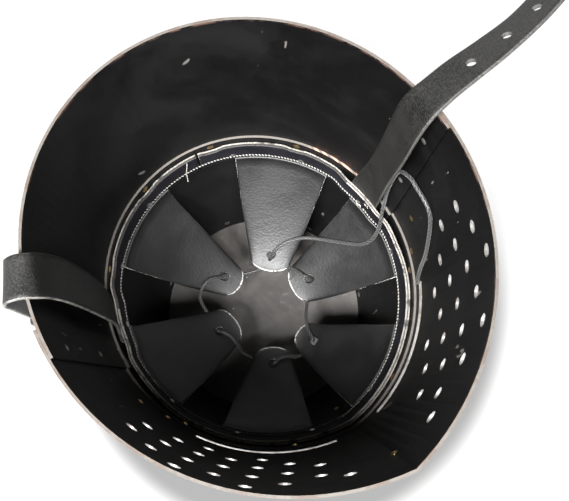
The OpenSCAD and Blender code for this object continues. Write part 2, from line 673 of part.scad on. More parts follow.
module short_strap_root() {
    color("black") difference() {
        leather(strap_root_rows(short_knots, short_hinge), strap_t);
        rivet_hole(short_root, liner_rivet_z);
    }
}

// Flap: from the fold over the rim down to the buckle, folded round its bar and riveted
flap_frame = strap_frame(short_knots, short_hinge);
module flap_side() {
    back = flap_len - return_slope;
    half = strap_t / 2;
    // Outer layer
    translate([-half, 0]) square([strap_t, flap_len]);
    // Fold round the bar
    translate([bar_y, flap_len]) difference() {
        circle(fold_r);
        circle(bar_in);
        translate([-2 * fold_r, -2 * fold_r]) square([4 * fold_r, 2 * fold_r]);
    }
    // Inner layer, drawn in to the outer one and running back up it
    turn = flap_len - fold_straight;
    polygon([[bar_y - fold_r, flap_len], [bar_y - bar_in, flap_len], [bar_y - bar_in, turn], [return_y + half, back],
        [return_y + half, flap_len - return_len], [return_y - half, flap_len - return_len], [return_y - half, back],
        [bar_y - fold_r, turn]]);
}
module short_strap_flap() {
    color("black") difference() {
        in_frame(flap_frame) difference() {
            union() {
                translate([-strap_w / 2, 0, 0]) rotate([90, 0, 90]) linear_extrude(strap_w) flap_side();
                rotate([0, 90, 0]) cylinder(r = hinge_r, h = strap_w - 0.1, center = true);
            }
            translate([-slot_w / 2, -20, flap_len - slot_up]) cube([slot_w, 40, slot_up + 20]);
            translate([0, 0, flap_len - flap_rivet_up]) rotate([90, 0, 0])
                cylinder(r = rivet_d / 2 + rivet_clear, h = 30, center = true);
        }
    }
}
module flap_rivet() {
    out = strap_t / 2 + head_seat;
    in = return_y - strap_t / 2 - head_seat;
    color("silver") in_frame(flap_frame) translate([0, 0, flap_len - flap_rivet_up]) rotate([-90, 0, 0]) {
        translate([0, 0, in - rivet_peen_h / 2]) cylinder(d = rivet_d, h = out - in + rivet_peen_h);
        translate([0, 0, out]) dome(rivet_head_r, rivet_head_h);
        translate([0, 0, in]) mirror([0, 0, 1]) dome(rivet_peen_r, rivet_peen_h);
    }
}
module strap_keeper() {
    half = strap_w / 2 + keeper_gap;
    high = strap_t / 2 + strap_t + 2 * keeper_gap;
    low = return_y - strap_t / 2 - keeper_gap;
    color("black") in_frame(flap_frame) translate([0, 0, flap_len - keeper_up - keeper_w]) linear_extrude(keeper_w)
        difference() {
            translate([-half - keeper_t, low - keeper_t]) square([2 * (half + keeper_t), high - low + 2 * keeper_t]);
            translate([-half, low]) square([2 * half, high - low]);
        }
}

// Buckle: a wire frame that turns on its own bar, and a prong on the same bar
module at_bar() {
    in_frame(flap_frame) translate([0, bar_y, flap_len]) children();
}
module wire_run(from, to, r) {
    d = to - from;
    translate(from) rotate([0, acos(d[2] / norm(d)), atan2(d[1], d[0])]) cylinder(r = r, h = norm(d));
}
module buckle_frame() {
    c = buckle_corner;
    w = buckle_half_w;
    color("silver") at_bar() {
        for (z = [0, buckle_len]) wire_run([-w + c, 0, z], [w - c, 0, z], wire_r);
        for (x = [-w, w]) wire_run([x, 0, c], [x, 0, buckle_len - c], wire_r);
        for (sx = [0, 1], sz = [0, 1])
            mirror([sx, 0, 0]) translate([w - c, 0, sz * buckle_len]) mirror([0, 0, sz])
                translate([0, 0, c]) rotate([90, 0, 0]) rotate([0, 0, -90])
                    rotate_extrude(angle = 90) translate([c, 0]) circle(wire_r);
    }
}
module buckle_prong() {
    inner = wire_r + bar_clear / 2 + 0.02;
    outer = inner + prong_ring_t;
    start = [0, (inner + outer) / 2, prong_r + 0.25];
    rest = [0, wire_r + prong_r + prong_rest, buckle_len];
    way = unit(rest - start);
    end = rest + way * wire_r;
    color("silver") at_bar() {
        difference() {
            rotate([0, 90, 0]) cylinder(r = outer, h = 2 * prong_r + 1.6, center = true);
            rotate([0, 90, 0]) cylinder(r = inner, h = 20, center = true);
        }
        wire_run(start, end, prong_r);
        translate(end) sphere(prong_r);
    }
}

skirt_front();
skirt_back();
upper_front();
upper_back();
crown_plate();
face_cross();
cross_rivets();
seam_rivets_right();
seam_rivets_left();
brow_rivets();
crown_rivets_ring();
liner_band();
liner_rivets();
petal_back_right();
petal_right();
petal_front_right();
petal_front_left();
petal_left();
petal_back_left();
liner_lace();
long_strap_root();
long_strap_tail();
short_strap_root();
short_strap_flap();
strap_keeper();
flap_rivet();
buckle_frame();
buckle_prong();
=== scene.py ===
"""Looks of a great helm that stands on its crown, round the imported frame. Lengths in the helper
functions are millimetres in the row frame, and become metres where a mesh is made."""
import collections
import math
import random

import bpy
import bmesh
import numpy as np
from mathutils import Matrix, Vector


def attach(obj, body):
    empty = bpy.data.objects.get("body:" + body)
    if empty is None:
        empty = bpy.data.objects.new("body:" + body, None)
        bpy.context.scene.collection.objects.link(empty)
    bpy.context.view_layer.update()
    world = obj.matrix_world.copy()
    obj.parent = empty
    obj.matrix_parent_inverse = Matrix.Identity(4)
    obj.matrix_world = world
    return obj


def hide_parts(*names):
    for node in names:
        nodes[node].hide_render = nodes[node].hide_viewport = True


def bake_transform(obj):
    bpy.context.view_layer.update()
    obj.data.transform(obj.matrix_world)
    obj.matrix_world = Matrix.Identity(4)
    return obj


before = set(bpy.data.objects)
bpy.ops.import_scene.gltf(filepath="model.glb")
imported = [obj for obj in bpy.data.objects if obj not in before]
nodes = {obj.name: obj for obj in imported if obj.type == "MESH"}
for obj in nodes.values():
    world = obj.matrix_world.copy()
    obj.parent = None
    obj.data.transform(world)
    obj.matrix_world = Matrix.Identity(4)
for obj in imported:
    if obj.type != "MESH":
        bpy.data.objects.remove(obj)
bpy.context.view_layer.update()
MM = 0.001

# Camera, at the photograph's place
FRAME_W = 569
FOCAL_PX = 974
SENSOR = 36.0
CAMERA_PLACE = (-0.0459, -0.0976, 0.7917)
CAMERA_RIGHT = (0.8256, -0.5642, 0.0008)
CAMERA_DOWN = (-0.5532, -0.8099, -0.1949)
CAMERA_FORWARD = (0.1106, 0.1604, -0.9808)
camera_data = bpy.data.cameras.new("camera")
camera_data.sensor_width = SENSOR
camera_data.lens = FOCAL_PX / FRAME_W * SENSOR
camera_data.clip_start = 0.01
camera_data.clip_end = 50
camera = bpy.data.objects.new("camera", camera_data)
bpy.context.scene.collection.objects.link(camera)
turn = Matrix((CAMERA_RIGHT, -Vector(CAMERA_DOWN), -Vector(CAMERA_FORWARD))).transposed()
camera.matrix_world = Matrix.Translation(CAMERA_PLACE) @ turn.to_quaternion().to_matrix().to_4x4()
bpy.context.scene.camera = camera

# Main sizes, as in the part
CROWN_R = 79.2
BROW = (106.0, 116.0, 110.0)
BROW_Z = 134.0
LAP_Z = 118.0
RIM = (119.5, 143.0, 128.0)
RIM_Z = 300.0
RIM_TILT = math.tan(math.radians(6))
BAND_LOW = 108.0
BAND_HIGH = 125.5
BAND_T = 3.0
BAND_INSET = 3.8
BAND_JOIN = 171.0
BAND_LEAN = 1.53
BAND_LEAN_FROM = 115
SEAM_RIGHT = 88.4
SEAM_LEFT = -95.8
PETAL_T = 2.0
PETAL_TIP_Z = 52.0
LONG_ROOT = 97.6
SHORT_ROOT = -109.5
STRAP_W = 25.0
STRAP_T = 2.2
FLAP_LEN = 64.0


def wrap(a):
    return (a + 540) % 360 - 180


def clamp(x):
    return max(0.0, min(1.0, x))


def at(a, r, z):
    """Place at an angle round the axis: 0 is the front, towards -Y, and 90 is towards +X."""
    t = math.radians(a)
    return np.array([r * math.sin(t), -r * math.cos(t), z])


def outline(a, half_w, front, back):
    """Radius of the helm's level section at an angle: two arcs that meet in a keel in front, and half
    an ellipse behind."""
    s, c = abs(math.sin(math.radians(a))), math.cos(math.radians(a))
    mid = (half_w ** 2 - front ** 2) / (2 * half_w)
    if c >= 0:
        return s * mid + math.sqrt((s * mid) ** 2 + front ** 2)
    return 1 / math.sqrt((s / half_w) ** 2 + (c / back) ** 2)


def rim_h(a):
    """Height of the tilted rim at an angle."""
    return RIM_Z + RIM_TILT * outline(a, *RIM) * math.cos(math.radians(a))


def skirt_r(a, z):
    """Radius of the wall above the brow lap."""
    brow = outline(a, *BROW)
    return brow + (outline(a, *RIM) - brow) * (z - BROW_Z) / (rim_h(a) - BROW_Z)


def wall_r(a, z):
    if z >= LAP_Z:
        return skirt_r(a, z)
    return CROWN_R + (skirt_r(a, LAP_Z) - CROWN_R) * z / LAP_Z


def wall(a, z, out=0.0):
    return at(a, wall_r(a, z) + out, z)


def swelling(a):
    """How far the band stands further in where a strap's root lies behind it."""
    best = 0.0
    for root in (LONG_ROOT, SHORT_ROOT):
        f = clamp((16 - abs(wrap(a - root))) / 8)
        best = max(best, f * f * (3 - 2 * f))
    return (STRAP_T + 0.1) * best


def band_lean(a, z):
    """How far the band leans outwards at its upper edge, in front where there is room."""
    front = BAND_LEAN * clamp((78 - abs(wrap(a + 5))) / 14)
    return front * clamp((z - BAND_LEAN_FROM) / (BAND_HIGH - BAND_LEAN_FROM))


def band_face(a, z, depth):
    """Point of the liner band at a depth from its outer face."""
    return wall(a, z, -BAND_INSET - swelling(a) + band_lean(a, z) - depth)


def spline(k, u):
    """Smooth curve through knots, at u from 0 to the last knot's index."""
    i = max(0, min(int(math.floor(u)), len(k) - 2))
    f = u - i
    p0, p1, p2, p3 = k[max(i - 1, 0)], k[i], k[i + 1], k[min(i + 2, len(k) - 1)]
    return (2 * p1 + (p2 - p0) * f + (2 * p0 - 5 * p1 + 4 * p2 - p3) * f ** 2
            + (3 * p1 - p0 - 3 * p2 + p3) * f ** 3) / 2


def unit(v):
    return v / np.linalg.norm(v)


# Materials. Places in them are in metres
def adder(owner):
    """Empties the nodes of a material or world and returns the function that adds one: inputs that are
    sockets are linked, and others are set."""
    owner.use_nodes = True
    tree = owner.node_tree
    tree.nodes.clear()

    def add(kind, inputs=(), **props):
        n = tree.nodes.new(kind)
        for key, value in props.items():
            setattr(n, key, value)
        for key, value in dict(inputs).items():
            if isinstance(value, bpy.types.NodeSocket):
                tree.links.new(value, n.inputs[key])
            else:
                n.inputs[key].default_value = value
        return n

    return add


def material(name):
    m = bpy.data.materials.new(name)
    return m, adder(m)


def rgba(c):
    return (*c, 1)


def noise(add, where, scale, detail=4, rough=0.55, distort=0.0):
    return add("ShaderNodeTexNoise", {"Vector": where, "Scale": scale, "Detail": detail,
               "Roughness": rough, "Distortion": distort}).outputs["Fac"]


def remap(add, x, a, b, c=0.0, d=1.0):
    return add("ShaderNodeMapRange", {"Value": x, "From Min": a, "From Max": b, "To Min": c, "To Max": d},
               interpolation_type="SMOOTHSTEP").outputs["Result"]


def math_node(add, op, a, b=0.0):
    return add("ShaderNodeMath", {0: a, 1: b}, operation=op).outputs[0]


def mix_color(add, fac, a, b, blend="MIX"):
    return add("ShaderNodeMix", {0: fac, 6: a, 7: b}, data_type="RGBA", blend_type=blend).outputs[2]


def mix_value(add, fac, a, b):
    return add("ShaderNodeMix", {0: fac, 2: a, 3: b}, data_type="FLOAT").outputs[0]


def bump(add, height, strength, distance, normal=None):
    inputs = {"Height": height, "Strength": strength, "Distance": distance}
    if normal is not None:
        inputs["Normal"] = normal
    return add("ShaderNodeBump", inputs).outputs["Normal"]


def surface(add, color, rough, normal=None, metal=0.0, **fixed):
    inputs = {"Base Color": color, "Roughness": rough, "Metallic": metal}
    if normal is not None:
        inputs["Normal"] = normal
    inputs.update(fixed)
    shader = add("ShaderNodeBsdfPrincipled", inputs)
    add("ShaderNodeOutputMaterial", {"Surface": shader.outputs[0]})
    return shader


def object_place(add):
    return add("ShaderNodeTexCoord").outputs["Object"]


def face_normal(add):
    return add("ShaderNodeNewGeometry").outputs["True Normal"]


def height_of(add, vector):
    return add("ShaderNodeSeparateXYZ", {0: vector}).outputs["Z"]


def dot(add, a, b):
    return add("ShaderNodeVectorMath", {0: a, 1: b}, operation="DOT_PRODUCT").outputs["Value"]


def from_axis(add, place):
    """The level direction from the helm's axis to a place."""
    flat = add("ShaderNodeVectorMath", {0: place, 1: (1, 1, 0)}, operation="MULTIPLY").outputs[0]
    return add("ShaderNodeVectorMath", {0: flat}, operation="NORMALIZE").outputs[0]


def facing_out(add, place):
    """How far a face looks away from the helm's axis: 1 outside, -1 inside, 0 on a cut edge."""
    return dot(add, from_axis(add, place), face_normal(add))


def toward(add, place, a):
    """How far a place lies towards an angle round the helm's axis."""
    t = math.radians(a)
    return dot(add, from_axis(add, place), (math.sin(t), -math.cos(t), 0))


def rim_distance(add, place):
    """Height over the rim's plane at the axis, in metres."""
    parts = add("ShaderNodeSeparateXYZ", {0: place})
    tilt = math_node(add, "MULTIPLY", parts.outputs["Y"], RIM_TILT)
    return math_node(add, "ADD", parts.outputs["Z"], tilt)


def satin_steel(add, place):
    cloud = noise(add, place, 14, 5, 0.6, 0.4)
    fine = noise(add, place, 420, 3)
    steel = mix_color(add, remap(add, cloud, 0.3, 0.7), (0.36, 0.355, 0.35, 1), (0.52, 0.51, 0.5, 1))
    return mix_color(add, remap(add, fine, 0.62, 0.75), steel, (0.3, 0.27, 0.24, 1))


def black_paint(add, place, low, high):
    """Brushed black paint with a few chips down to the steel and some scratches."""
    cloud = noise(add, place, 14, 5, 0.6, 0.4)
    paint = mix_color(add, remap(add, cloud, 0.38, 0.66), rgba(low), rgba(high))
    cell = add("ShaderNodeTexVoronoi", {"Vector": place, "Scale": 62.0, "Randomness": 1.0})
    chosen = remap(add, noise(add, place, 21, 2), 0.56, 0.6)
    chip = math_node(add, "MULTIPLY", remap(add, cell.outputs["Distance"], 0.03, 0.05, 1.0, 0.0), chosen)
    paint = mix_color(add, chip, paint, (0.42, 0.4, 0.37, 1))
    stretch = add("ShaderNodeMapping", {0: place, 2: (0.5, 0.35, 0.9), 3: (9, 160, 26)}).outputs[0]
    line = noise(add, stretch, 1.4, 2)
    scratch = math_node(add, "MULTIPLY", remap(add, line, 0.73, 0.76), 0.35)
    return mix_color(add, scratch, paint, (0.3, 0.28, 0.26, 1)), cloud


HOLES_ABOVE = (0.137, 0.139)
# Hole and slot walls get a paler bare steel than the rim's cut edge: painted light on walls that sit in
# shade
HOLE_EDGE_PAINTED_LIGHT = (0.22, 0.216, 0.21, 1)
HOLE_METAL = 0.35


def plate_material(name, edge, rust=0.0, copper=None):
    """Steel plate: satin outside, black paint inside, bare where it was cut, with a paler bare steel on the
    walls of its holes as painted light.
    """
    m, add = material(name)
    place = object_place(add)
    out = facing_out(add, place)
    outside = remap(add, out, 0.35, 0.55)
    inner = remap(add, out, -0.55, -0.35, 1.0, 0.0)
    fine = noise(add, place, 420, 3)
    paint, cloud = black_paint(add, place, (0.0025, 0.0025, 0.0027), (0.007, 0.007, 0.0072))
    dull = rgba([c * 0.6 for c in edge])
    bare = mix_color(add, remap(add, fine, 0.45, 0.75, 0.0, 0.5), rgba(edge), dull)
    top = remap(add, rim_distance(add, place), RIM_Z * MM - 0.004, RIM_Z * MM - 0.003)
    in_hole = remap(add, height_of(add, place), *HOLES_ABOVE)
    in_hole = math_node(add, "MULTIPLY", in_hole, math_node(add, "SUBTRACT", 1.0, top))
    # Painted light: the walls of the holes and slots take the paler bare steel
    bare = mix_color(add, in_hole, bare, HOLE_EDGE_PAINTED_LIGHT)
    if rust:
        near = remap(add, rim_distance(add, place), RIM_Z * MM - 0.0026, RIM_Z * MM - 0.001)
        patch = remap(add, noise(add, place, 90, 5, 0.7), 0.44, 0.62)
        mask = math_node(add, "MULTIPLY", math_node(add, "MULTIPLY", near, patch), rust)
        paint = mix_color(add, mask, paint, (0.12, 0.07, 0.055, 1))
        bare = mix_color(add, math_node(add, "MULTIPLY", patch, 0.6), bare, (0.07, 0.05, 0.04, 1))
    if copper:
        side = remap(add, toward(add, place, copper), 0.974, 0.988)
        wave = add("ShaderNodeTexWave", {"Vector": place, "Scale": 95.0, "Distortion": 3.0, "Detail": 2.0},
                   bands_direction="X").outputs["Fac"]
        tick = math_node(add, "MULTIPLY", side, remap(add, wave, 0.35, 0.6))
        bare = mix_color(add, tick, bare, (0.4, 0.22, 0.17, 1))
    up = height_of(add, face_normal(add))
    seam = math_node(add, "MAXIMUM", toward(add, place, SEAM_RIGHT), toward(add, place, SEAM_LEFT))
    upright = remap(add, up, 0.4, 0.6, 1.0, 0.0)
    painted = math_node(add, "MULTIPLY", remap(add, seam, 0.991, 0.993), upright)
    bare = mix_color(add, painted, bare, paint)
    color = mix_color(add, outside, bare, satin_steel(add, place))
    color = mix_color(add, inner, color, paint)
    cut = math_node(add, "SUBTRACT", 1.0, inner)
    dull_cut = math_node(add, "MULTIPLY", cut, math_node(add, "MULTIPLY", in_hole, HOLE_METAL))
    metal = math_node(add, "MAXIMUM", outside, dull_cut)
    steel_rough = remap(add, fine, 0.3, 0.7, 0.28, 0.44)
    rough = mix_value(add, inner, steel_rough, remap(add, cloud, 0.3, 0.7, 0.38, 0.5))
    rough = mix_value(add, math_node(add, "MULTIPLY", metal, in_hole), rough, 0.5)
    normal = bump(add, noise(add, place, 2300, 2), 0.2, 0.0002)
    normal = bump(add, cloud, 0.12, 0.003, normal)
    surface(add, color, rough, normal, metal, **{"Specular IOR Level": 0.1})
    return m


def crown_material(name):
    """The crown: satin outside, and inside dull brownish black with pale worn blotches."""
    m, add = material(name)
    place = object_place(add)
    looks_up = remap(add, height_of(add, face_normal(add)), 0.5, 0.7)
    inner = math_node(add, "MULTIPLY", looks_up, remap(add, height_of(add, place), 0.004, 0.006, 1.0, 0.0))
    cloud = noise(add, place, 22, 6, 0.62, 0.6)
    fine = noise(add, place, 300, 4)
    paint = mix_color(add, remap(add, cloud, 0.36, 0.64), (0.065, 0.06, 0.056, 1), (0.115, 0.106, 0.098, 1))
    worn = noise(add, place, 85, 7, 0.75, 1.1)
    paint = mix_color(add, remap(add, worn, 0.56, 0.72, 0.0, 0.4), paint, (0.3, 0.275, 0.25, 1))
    cell = add("ShaderNodeTexVoronoi", {"Vector": place, "Scale": 75.0, "Randomness": 1.0})
    speck = remap(add, cell.outputs["Distance"], 0.03, 0.05, 1.0, 0.0)
    paint = mix_color(add, speck, paint, (0.5, 0.48, 0.45, 1))
    color = mix_color(add, inner, satin_steel(add, place), paint)
    metal = math_node(add, "SUBTRACT", 1.0, inner)
    surface(add, color, mix_value(add, inner, 0.36, remap(add, worn, 0.4, 0.65, 0.34, 0.52)),
            bump(add, fine, 0.25, 0.0003), metal)
    return m


def metal_material(name, low, high, rough, stain, metal=1.0, scale=60):
    m, add = material(name)
    place = object_place(add)
    cloud = noise(add, place, scale, 5, 0.6)
    fine = noise(add, place, scale * 12, 3)
    color = mix_color(add, remap(add, cloud, 0.35, 0.65), rgba(low), rgba(high))
    color = mix_color(add, remap(add, fine, 0.6, 0.78), color, rgba(stain))
    surface(add, color, remap(add, fine, 0.3, 0.7, rough - 0.08, rough + 0.1),
            bump(add, fine, 0.3, 0.0002), metal)
    return m


def leather_material(name, low, high, pebble, depth, rough, worn=0.0, spread=0.1, gloss=0.5, crease=0.1):
    """Leather with a pebbled grain. The grain's size, its depth and the creases' are in millimetres."""
    m, add = material(name)
    place = object_place(add)
    cells = add("ShaderNodeTexVoronoi", {"Vector": place, "Scale": 1 / (pebble * MM)}, feature="SMOOTH_F1")
    grain = cells.outputs["Distance"]
    cloud = noise(add, place, 38, 5, 0.6, 0.3)
    fine = noise(add, place, 1900, 3)
    color = mix_color(add, remap(add, cloud, 0.33, 0.68), rgba(low), rgba(high))
    raised = remap(add, grain, 0.15, 0.6, 1.0, 0.0)
    color = mix_color(add, math_node(add, "MULTIPLY", raised, worn), color, (0.32, 0.31, 0.29, 1))
    roughness = math_node(add, "ADD", remap(add, cloud, 0.3, 0.7, rough - spread, rough + spread),
                          math_node(add, "MULTIPLY", fine, 0.06))
    normal = bump(add, grain, 0.7, -depth * MM)
    normal = bump(add, noise(add, place, 420, 4, 0.7, 0.6), 0.5, depth * 2 * MM, normal)
    normal = bump(add, fine, 0.3, crease * MM, normal)
    surface(add, color, roughness, normal, 0.0, **{"Specular IOR Level": gloss})
    return m


def raw_edge_material(name, low, high, stain_scale=130):
    """Cut leather edge: pale, fibrous and stained in places."""
    m, add = material(name)
    place = object_place(add)
    fibre = noise(add, place, 900, 4, 0.7)
    patch = noise(add, place, stain_scale, 4, 0.6)
    color = mix_color(add, remap(add, fibre, 0.35, 0.65), rgba(low), rgba(high))
    color = mix_color(add, remap(add, patch, 0.5, 0.66), color, (0.03, 0.027, 0.025, 1))
    surface(add, color, 0.75, bump(add, fibre, 0.6, 0.0003))
    return m


def thread_material(name, low, high):
    m, add = material(name)
    place = object_place(add)
    fibre = noise(add, place, 2600, 3, 0.7)
    patch = noise(add, place, 60, 3)
    color = mix_color(add, remap(add, fibre, 0.3, 0.7), rgba(low), rgba(high))
    color = mix_color(add, remap(add, patch, 0.55, 0.75, 0.0, 0.6), color, (0.18, 0.16, 0.14, 1))
    surface(add, color, 0.8, bump(add, fibre, 0.5, 0.0002), 0.0, **{"Sheen Weight": 0.2})
    return m


def lace_material(name):
    """Black braid, paler in colour on the tops of its strands as a painted sheen there."""
    m, add = material(name)
    place = object_place(add)
    top = add("ShaderNodeAttribute", attribute_name="strand").outputs["Fac"]
    fibre = noise(add, place, 3000, 3, 0.7)
    color = mix_color(add, remap(add, fibre, 0.3, 0.7), (0.004, 0.004, 0.0045, 1), (0.012, 0.012, 0.012, 1))
    # Painted sheen: the strands' tops get a paler colour
    color = mix_color(add, remap(add, top, 0.7, 1.0, 0.0, 0.8), color, (0.13, 0.125, 0.12, 1))
    surface(add, color, remap(add, top, 0.0, 1.0, 0.7, 0.38), bump(add, fibre, 0.5, 0.0002), 0.0,
            **{"Sheen Weight": 0.15})
    return m


def brass_material(name):
    m, add = material(name)
    place = object_place(add)
    cloud = noise(add, place, 26, 5, 0.6, 0.4)
    fine = noise(add, place, 500, 4)
    color = mix_color(add, remap(add, cloud, 0.32, 0.68), (0.53, 0.38, 0.15, 1), (0.72, 0.55, 0.26, 1))
    color = mix_color(add, remap(add, fine, 0.6, 0.8, 0.0, 0.7), color, (0.22, 0.15, 0.07, 1))
    surface(add, color, remap(add, fine, 0.3, 0.7, 0.28, 0.46), bump(add, fine, 0.25, 0.0002), 1.0)
    return m


skirt_steel = plate_material("skirt_steel", (0.1, 0.091, 0.082), rust=0.7)
upper_steel = plate_material("upper_steel", (0.12, 0.11, 0.1), copper=114)
crown_steel = crown_material("crown_steel")
brass = brass_material("brass")
rivet_steel = metal_material("rivet_steel", (0.2, 0.195, 0.19), (0.42, 0.41, 0.4), 0.4, (0.12, 0.1, 0.08))
painted_rivet = metal_material("painted_rivet", (0.03, 0.03, 0.032), (0.07, 0.07, 0.07), 0.42,
                               (0.4, 0.38, 0.36), 0.0, 300)
liner_rivet = metal_material("liner_rivet", (0.35, 0.34, 0.33), (0.5, 0.49, 0.48), 0.35, (0.1, 0.09, 0.08))
buckle_steel = metal_material("buckle_steel", (0.5, 0.5, 0.49), (0.62, 0.61, 0.6), 0.26, (0.3, 0.27, 0.23))
band_leather = leather_material("band_leather", (0.002, 0.002, 0.004), (0.006, 0.006, 0.009),
                                pebble=0.5, depth=0.03, rough=0.6, spread=0.05, gloss=0.25)
petal_leather = leather_material("petal_leather", (0.001, 0.001, 0.0011), (0.003, 0.003, 0.0031),
                                 pebble=1.5, depth=0.16, rough=0.5, spread=0.05, gloss=0.8, crease=0.02)
strap_leather = leather_material("strap_leather", (0.004, 0.004, 0.0038), (0.009, 0.0088, 0.0082),
                                 pebble=1.0, depth=0.22, rough=0.5, worn=0.035, spread=0.05, gloss=0.35,
                                 crease=0.05)
strap_inside = leather_material("strap_inside", (0.03, 0.03, 0.031), (0.055, 0.055, 0.055),
                                pebble=0.4, depth=0.04, rough=0.7)
cream_edge = raw_edge_material("cream_edge", (0.13, 0.12, 0.107), (0.32, 0.3, 0.27))
strap_edge = raw_edge_material("strap_edge", (0.08, 0.078, 0.07), (0.17, 0.165, 0.15))
worn_edge = raw_edge_material("worn_edge", (0.02, 0.019, 0.018), (0.07, 0.068, 0.063))
petal_edge = raw_edge_material("petal_edge", (0.2, 0.195, 0.185), (0.85, 0.83, 0.78), 420)
cream_thread = thread_material("cream_thread", (0.16, 0.152, 0.14), (0.4, 0.38, 0.345))
braid = lace_material("braid")


def dress(node, *mats):
    data = nodes[node].data
    data.materials.clear()
    for m in mats:
        data.materials.append(m)


for name in ("skirt_front", "skirt_back"):
    dress(name, skirt_steel)
for name in ("upper_front", "upper_back"):
    dress(name, upper_steel)
dress("crown_plate", crown_steel)
for name in ("face_cross", "cross_rivets", "brow_rivets"):
    dress(name, brass)
for name in ("seam_rivets_right", "seam_rivets_left", "crown_rivets_ring"):
    dress(name, painted_rivet)
dress("liner_rivets", liner_rivet)
dress("flap_rivet", rivet_steel)
for name in ("buckle_frame", "buckle_prong"):
    dress(name, buckle_steel)


# Meshes
def piece(name, points, faces, mats, marks=None, body="helm", replaces=()):
    """A visible piece of points in millimetres. Marks pick each face's material out of mats."""
    data = bpy.data.meshes.new(name)
    data.from_pydata([tuple(np.asarray(p) * MM) for p in points], [], faces)
    for m in mats:
        data.materials.append(m)
    if marks is not None:
        data.polygons.foreach_set("material_index", marks)
    data.polygons.foreach_set("use_smooth", [True] * len(data.polygons))
    data.validate()
    data.update()
    obj = bpy.data.objects.new(name, data)
    bpy.context.scene.collection.objects.link(obj)
    if body:
        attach(obj, body)
    if replaces:
        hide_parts(*replaces)
    return obj


def normals_of(mid):
    """Unit normals at a grid of points."""
    along = np.empty_like(mid)
    across = np.empty_like(mid)
    along[1:-1] = mid[2:] - mid[:-2]
    along[0] = mid[1] - mid[0]
    along[-1] = mid[-1] - mid[-2]
    across[:, 1:-1] = mid[:, 2:] - mid[:, :-2]
    across[:, 0] = mid[:, 1] - mid[:, 0]
    across[:, -1] = mid[:, -1] - mid[:, -2]
    n = np.cross(across, along)
    return n / np.linalg.norm(n, axis=2)[:, :, None]


def pulled_in(mid, amount):
    """The grid with its outermost points drawn inwards by an amount."""
    g = mid.copy()
    for axis in (0, 1):
        h = np.moveaxis(g, axis, 0)
        for edge, inner in ((0, 1), (-1, -2)):
            way = h[inner] - h[edge]
            h[edge] += way / np.linalg.norm(way, axis=1)[:, None] * amount
    return g


EDGE_FROM = 0.28


def slab(mid, t, soften=0.45, dark_end=False):
    """Closed leather slab about a grid of middle points, with softened edges. Returns points, faces
    and a mark for each face: 0 on the side that the normals look to, 1 on a cut edge, 2 behind. The
    edge along the last row keeps the mark 0 if it is a dark end. The edge is upright for EDGE_FROM of
    the thickness each way, and slopes in by soften beyond."""
    mid = mid[:, ::-1]
    n = normals_of(mid)
    inner = pulled_in(mid, soften)
    rows, cols = mid.shape[:2]
    loop = ([(0, j) for j in range(cols)] + [(i, cols - 1) for i in range(1, rows)]
            + [(rows - 1, j) for j in range(cols - 2, -1, -1)] + [(i, 0) for i in range(rows - 2, 0, -1)])
    top = inner + n * t / 2
    low = inner - n * t / 2
    ring_a = [mid[i, j] + n[i, j] * t * EDGE_FROM for i, j in loop]
    ring_b = [mid[i, j] - n[i, j] * t * EDGE_FROM for i, j in loop]
    points = list(top.reshape(-1, 3)) + list(low.reshape(-1, 3)) + ring_a + ring_b
    count = rows * cols
    faces, marks = [], []
    for i in range(rows - 1):
        for j in range(cols - 1):
            a, b, c, d = i * cols + j, i * cols + j + 1, (i + 1) * cols + j + 1, (i + 1) * cols + j
            faces.append((a, b, c, d))
            marks.append(0)
            faces.append((count + d, count + c, count + b, count + a))
            marks.append(2)
    size = len(loop)
    for k in range(size):
        m = (k + 1) % size
        ia, ib = loop[k][0] * cols + loop[k][1], loop[m][0] * cols + loop[m][1]
        ra, rb = 2 * count + k, 2 * count + m
        sa, sb = ra + size, rb + size
        faces += [(ib, ia, ra, rb), (rb, ra, sa, sb), (sb, sa, count + ia, count + ib)]
        dark = dark_end and loop[k][0] == rows - 1 and loop[m][0] == rows - 1
        marks += [0, 0, 2] if dark else [1, 1, 2]
    return points, faces, marks


def tube_faces(rings, sides, base=0):
    """Faces of a closed tube of rings of points, with a flat face at each end."""
    faces = []
    for i in range(rings - 1):
        a, b = base + i * sides, base + (i + 1) * sides
        for k in range(sides):
            m = (k + 1) % sides
            faces.append((a + k, a + m, b + m, b + k))
    faces.append(tuple(base + k for k in range(sides - 1, -1, -1)))
    faces.append(tuple(base + (rings - 1) * sides + k for k in range(sides)))
    return faces


def subtract(obj, bm):
    """Cuts the shape in bm out of a piece."""
    data = bpy.data.meshes.new("cutter")
    bm.to_mesh(data)
    bm.free()
    cutter = bpy.data.objects.new("cutter", data)
    bpy.context.scene.collection.objects.link(cutter)
    cut = obj.modifiers.new("cut", "BOOLEAN")
    cut.operation = "DIFFERENCE"
    cut.solver = "EXACT"
    cut.object = cutter
    bpy.context.view_layer.update()
    made = bpy.data.meshes.new_from_object(obj.evaluated_get(bpy.context.evaluated_depsgraph_get()))
    obj.modifiers.clear()
    old = obj.data
    obj.data = made
    bpy.data.meshes.remove(old)
    bpy.data.objects.remove(cutter)


